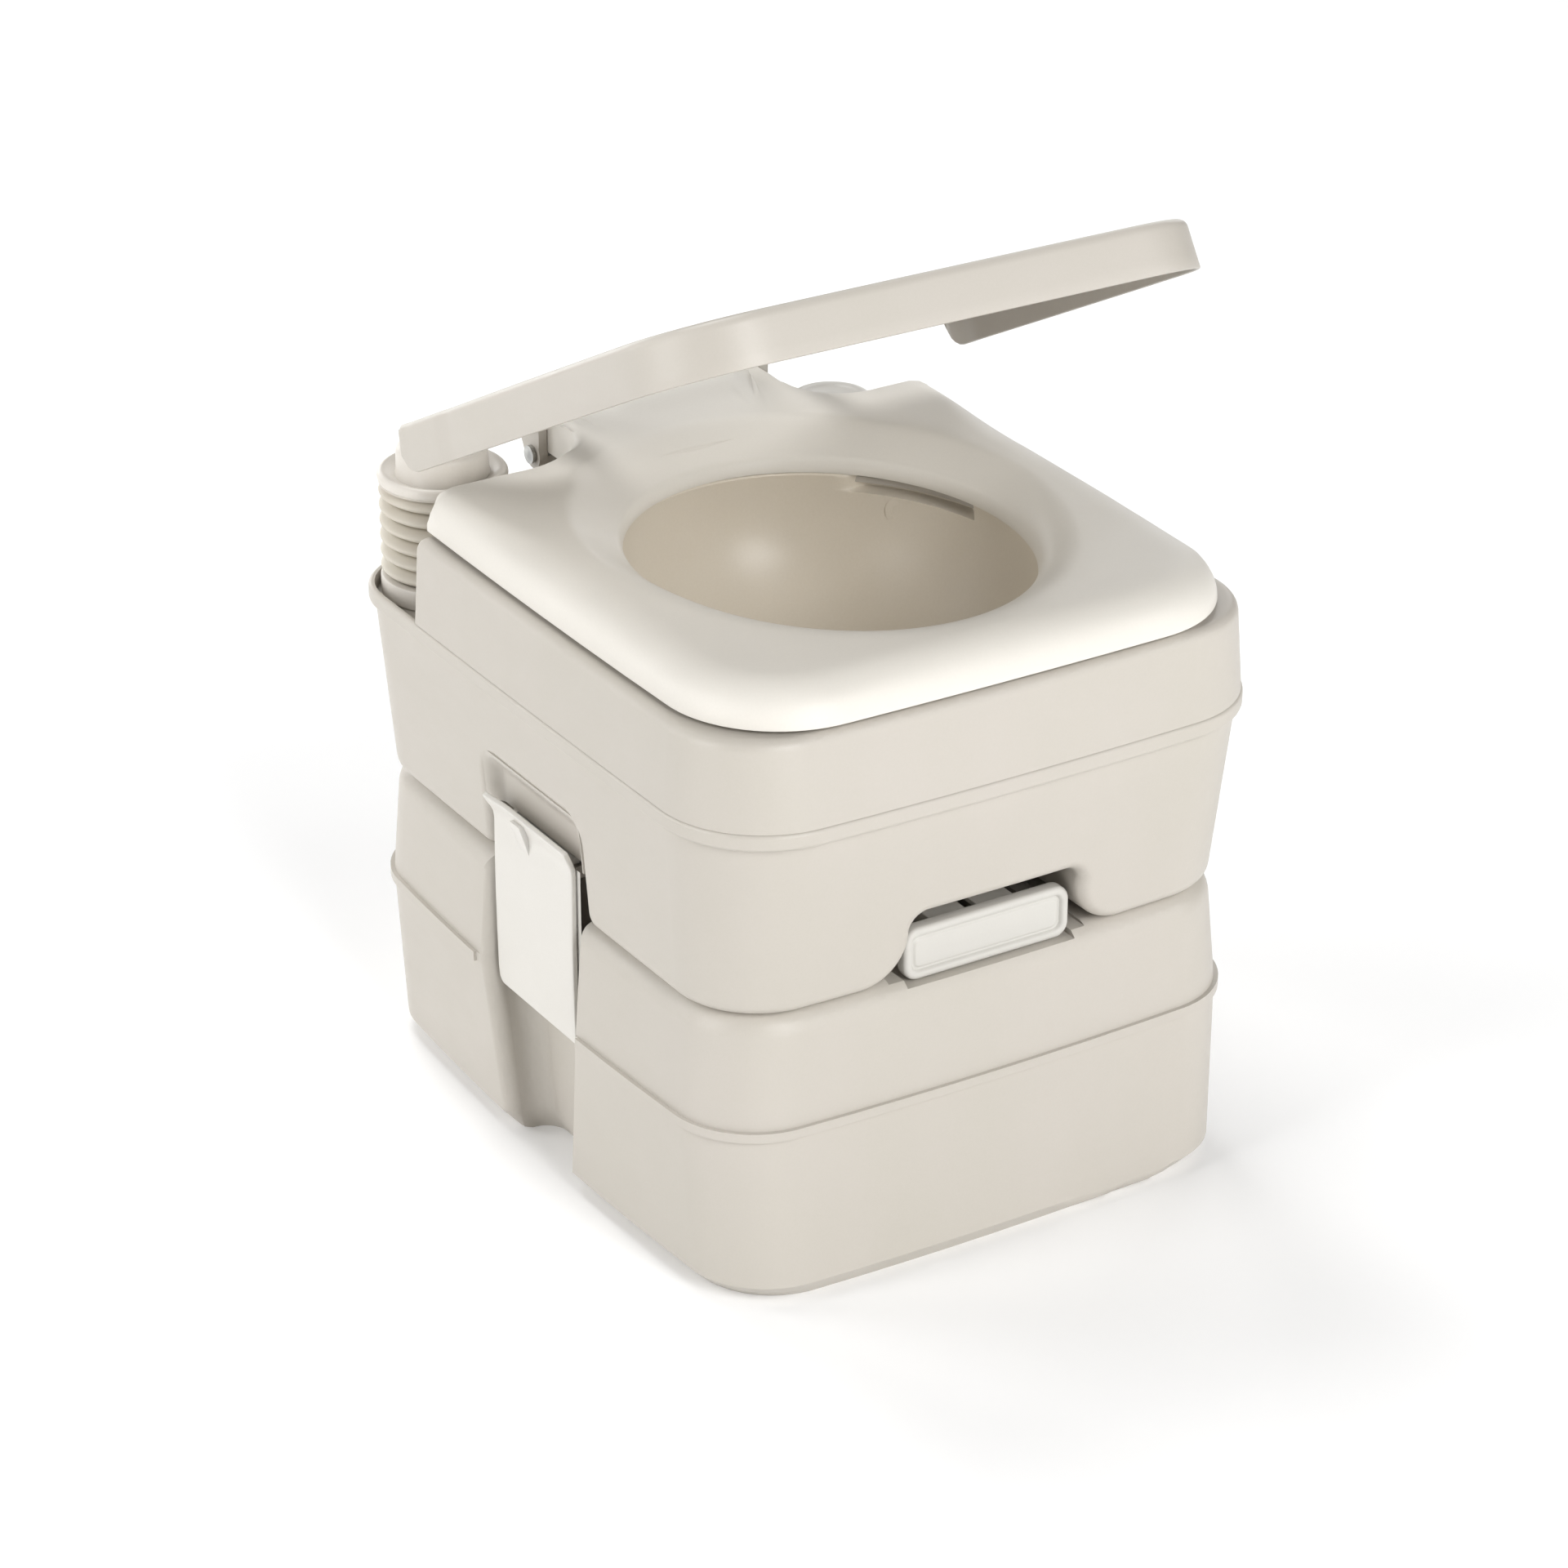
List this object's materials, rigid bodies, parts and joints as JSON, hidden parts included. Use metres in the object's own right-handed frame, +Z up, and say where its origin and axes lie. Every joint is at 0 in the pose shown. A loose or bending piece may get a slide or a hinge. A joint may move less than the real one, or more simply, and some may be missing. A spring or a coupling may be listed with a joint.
{
  "type": "portable toilet",
  "caption": "Free-standing portable toilet with a waste tank, a latched fresh-water tank, slide valve, bellows flush pump, bowl, hinged seat and lid.",
  "frame": {"origin": "on the floor, under the middle of the tanks", "axes": "+Z up, -Y towards the front with the valve handle, +X to the right seen from the front"},
  "size_m": [0.33, 0.396, 0.5096],
  "materials": {
    "tank_plastic": "satin moulded ivory plastic",
    "bowl_plastic": "satin moulded beige plastic",
    "seat_plastic": "satin moulded off-white plastic",
    "white_plastic": "smooth off-white plastic",
    "pump_plastic": "satin ivory plastic",
    "bellows_rubber": "soft ivory elastomer",
    "valve_plastic": "smooth grey plastic",
    "dark_rubber": "matt black rubber",
    "steel": "stainless steel"
  },
  "bodies": {
    "tanks": {"waste_tank": "tank_plastic", "valve_base": "valve_plastic", "valve_guide": "valve_plastic", "valve_seal": "dark_rubber", "bowl_gasket": "dark_rubber", "valve_screws": "steel", "fresh_tank_tub": "tank_plastic", "fresh_tank_cover": "tank_plastic", "bowl": "bowl_plastic", "flush_hose": "dark_rubber", "flush_nozzle": "bowl_plastic", "pump_collar": "pump_plastic", "pump_intake": "valve_plastic", "pump_flap": "dark_rubber", "pump_bellows": "bellows_rubber", "filler_neck": "white_plastic", "spout_neck": "white_plastic", "hinge_pin_left": "steel", "hinge_pin_right": "steel", "latch_left_pin": "steel", "latch_right_pin": "steel"},
    "valve": {"valve_blade": "valve_plastic", "valve_handle": "white_plastic"},
    "pump_button": {"pump_cap": "pump_plastic"},
    "seat": {"seat": "seat_plastic", "seat_buffers": "dark_rubber"},
    "lid": {"lid": "seat_plastic", "lid_buffers": "dark_rubber"},
    "latch_left": {"latch_left": "white_plastic"},
    "latch_right": {"latch_right": "white_plastic"},
    "fill_cap_seat": {"fill_cap_seal": "dark_rubber"},
    "fill_cap": {"fill_cap": "white_plastic"},
    "spout_cap_seat": {"spout_seal": "dark_rubber"},
    "spout_cap": {"spout_cap": "white_plastic"}
  },
  "joints": [
    {"name": "seat_hinge", "type": "hinge", "parent": "tanks", "child": "seat", "pos_m": [0, 0.178, 0.312], "axis": [-1, 0, 0], "range_deg": [0, 90]},
    {"name": "lid_hinge", "type": "hinge", "parent": "seat", "child": "lid", "pos_m": [0, 0.178, 0.312], "axis": [-1, 0, 0], "range_deg": [-27.5, 65]},
    {"name": "valve_slide", "type": "slide", "parent": "tanks", "child": "valve", "axis": [0, -1, 0], "range_m": [0, 0.108]},
    {"name": "pump_press", "type": "slide", "parent": "tanks", "child": "pump_button", "axis": [0, 0, -1], "range_m": [0, 0.04], "stiffness_N_per_m": 500, "springref_m": -0.004, "deforming": ["pump_bellows"]},
    {"name": "latch_left_hinge", "type": "hinge", "parent": "tanks", "child": "latch_left", "pos_m": [-0.1478, 0, 0.096], "axis": [0, -1, 0], "range_deg": [0, 70]},
    {"name": "latch_right_hinge", "type": "hinge", "parent": "tanks", "child": "latch_right", "pos_m": [0.1478, 0, 0.096], "axis": [0, 1, 0], "range_deg": [0, 70]},
    {"name": "fill_cap_lift", "type": "slide", "parent": "tanks", "child": "fill_cap_seat", "axis": [0, 0, 1], "range_m": [0, 0.006]},
    {"name": "fill_cap_turn", "type": "hinge", "parent": "fill_cap_seat", "child": "fill_cap", "pos_m": [0.119, 0.158, 0.3], "axis": [0, 0, 1], "range_deg": [0, 540]},
    {"name": "spout_cap_lift", "type": "slide", "parent": "tanks", "child": "spout_cap_seat", "axis": [0, 1, 0], "range_m": [0, 0.006]},
    {"name": "spout_cap_turn", "type": "hinge", "parent": "spout_cap_seat", "child": "spout_cap", "pos_m": [-0.062, 0.175, 0.098], "axis": [0, 1, 0], "range_deg": [0, 540]}
  ],
  "couplings": [
    {"joint": "fill_cap_turn", "follows": "fill_cap_lift", "rad_per_m": 1570.8},
    {"joint": "spout_cap_turn", "follows": "spout_cap_lift", "rad_per_m": 1570.8}
  ]
}
